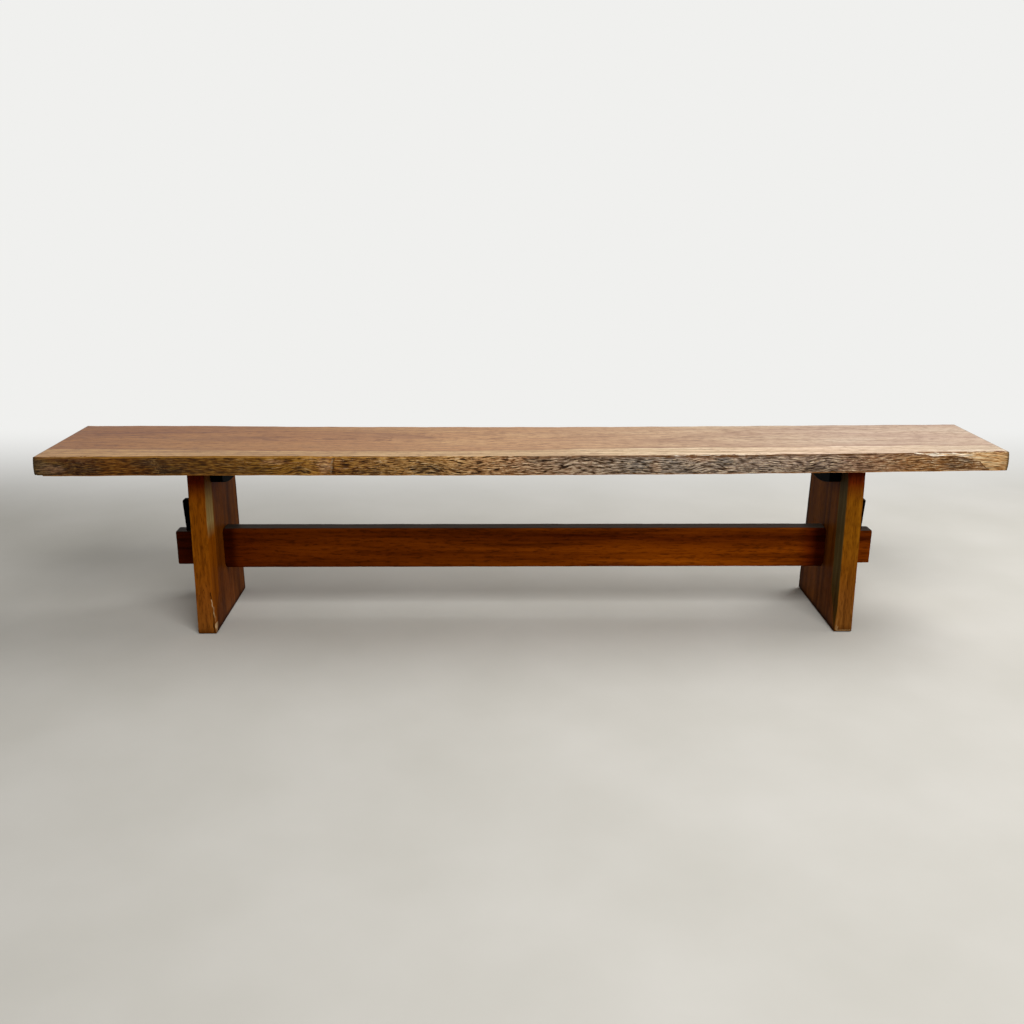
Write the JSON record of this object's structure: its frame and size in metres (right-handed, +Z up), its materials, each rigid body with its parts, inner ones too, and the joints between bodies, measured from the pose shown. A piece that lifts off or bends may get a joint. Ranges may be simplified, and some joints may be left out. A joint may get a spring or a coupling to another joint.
{
  "type": "live edge bench",
  "caption": "Long low bench: a natural-edged wooden slab seat on two slab legs, tied by a through-tenoned stretcher with tusk wedges.",
  "frame": {"origin": "on the floor, under the middle of the seat slab", "axes": "+X along the seat to the right as seen from the front, -Y towards the front live edge, +Z up"},
  "size_m": [2.158, 0.3448, 0.43],
  "materials": {
    "seat": "oiled slab with pale sapwood and a weathered, bark-free live edge",
    "leg": "varnished orange-brown",
    "stretcher": "varnished reddish brown",
    "ebonised": "blackened, satin",
    "screw": "dull steel"
  },
  "bodies": {
    "bench": {"seat_slab": "seat", "leg_left": "leg", "leg_right": "leg", "stretcher": "stretcher", "cleat_left": "ebonised", "cleat_right": "ebonised", "seat_screw_left_front": "screw", "seat_screw_left_rear": "screw", "seat_screw_right_front": "screw", "seat_screw_right_rear": "screw", "leg_screw_left_front": "screw", "leg_screw_left_rear": "screw", "leg_screw_right_front": "screw", "leg_screw_right_rear": "screw"},
    "left_tusk": {"wedge_left": "ebonised"},
    "right_tusk": {"wedge_right": "ebonised"}
  },
  "joints": [
    {"name": "wedge_left_lift", "type": "slide", "parent": "bench", "child": "left_tusk", "axis": [0, 0, 1], "range_m": [0, 0.09]},
    {"name": "wedge_right_lift", "type": "slide", "parent": "bench", "child": "right_tusk", "axis": [0, 0, 1], "range_m": [0, 0.09]}
  ]
}
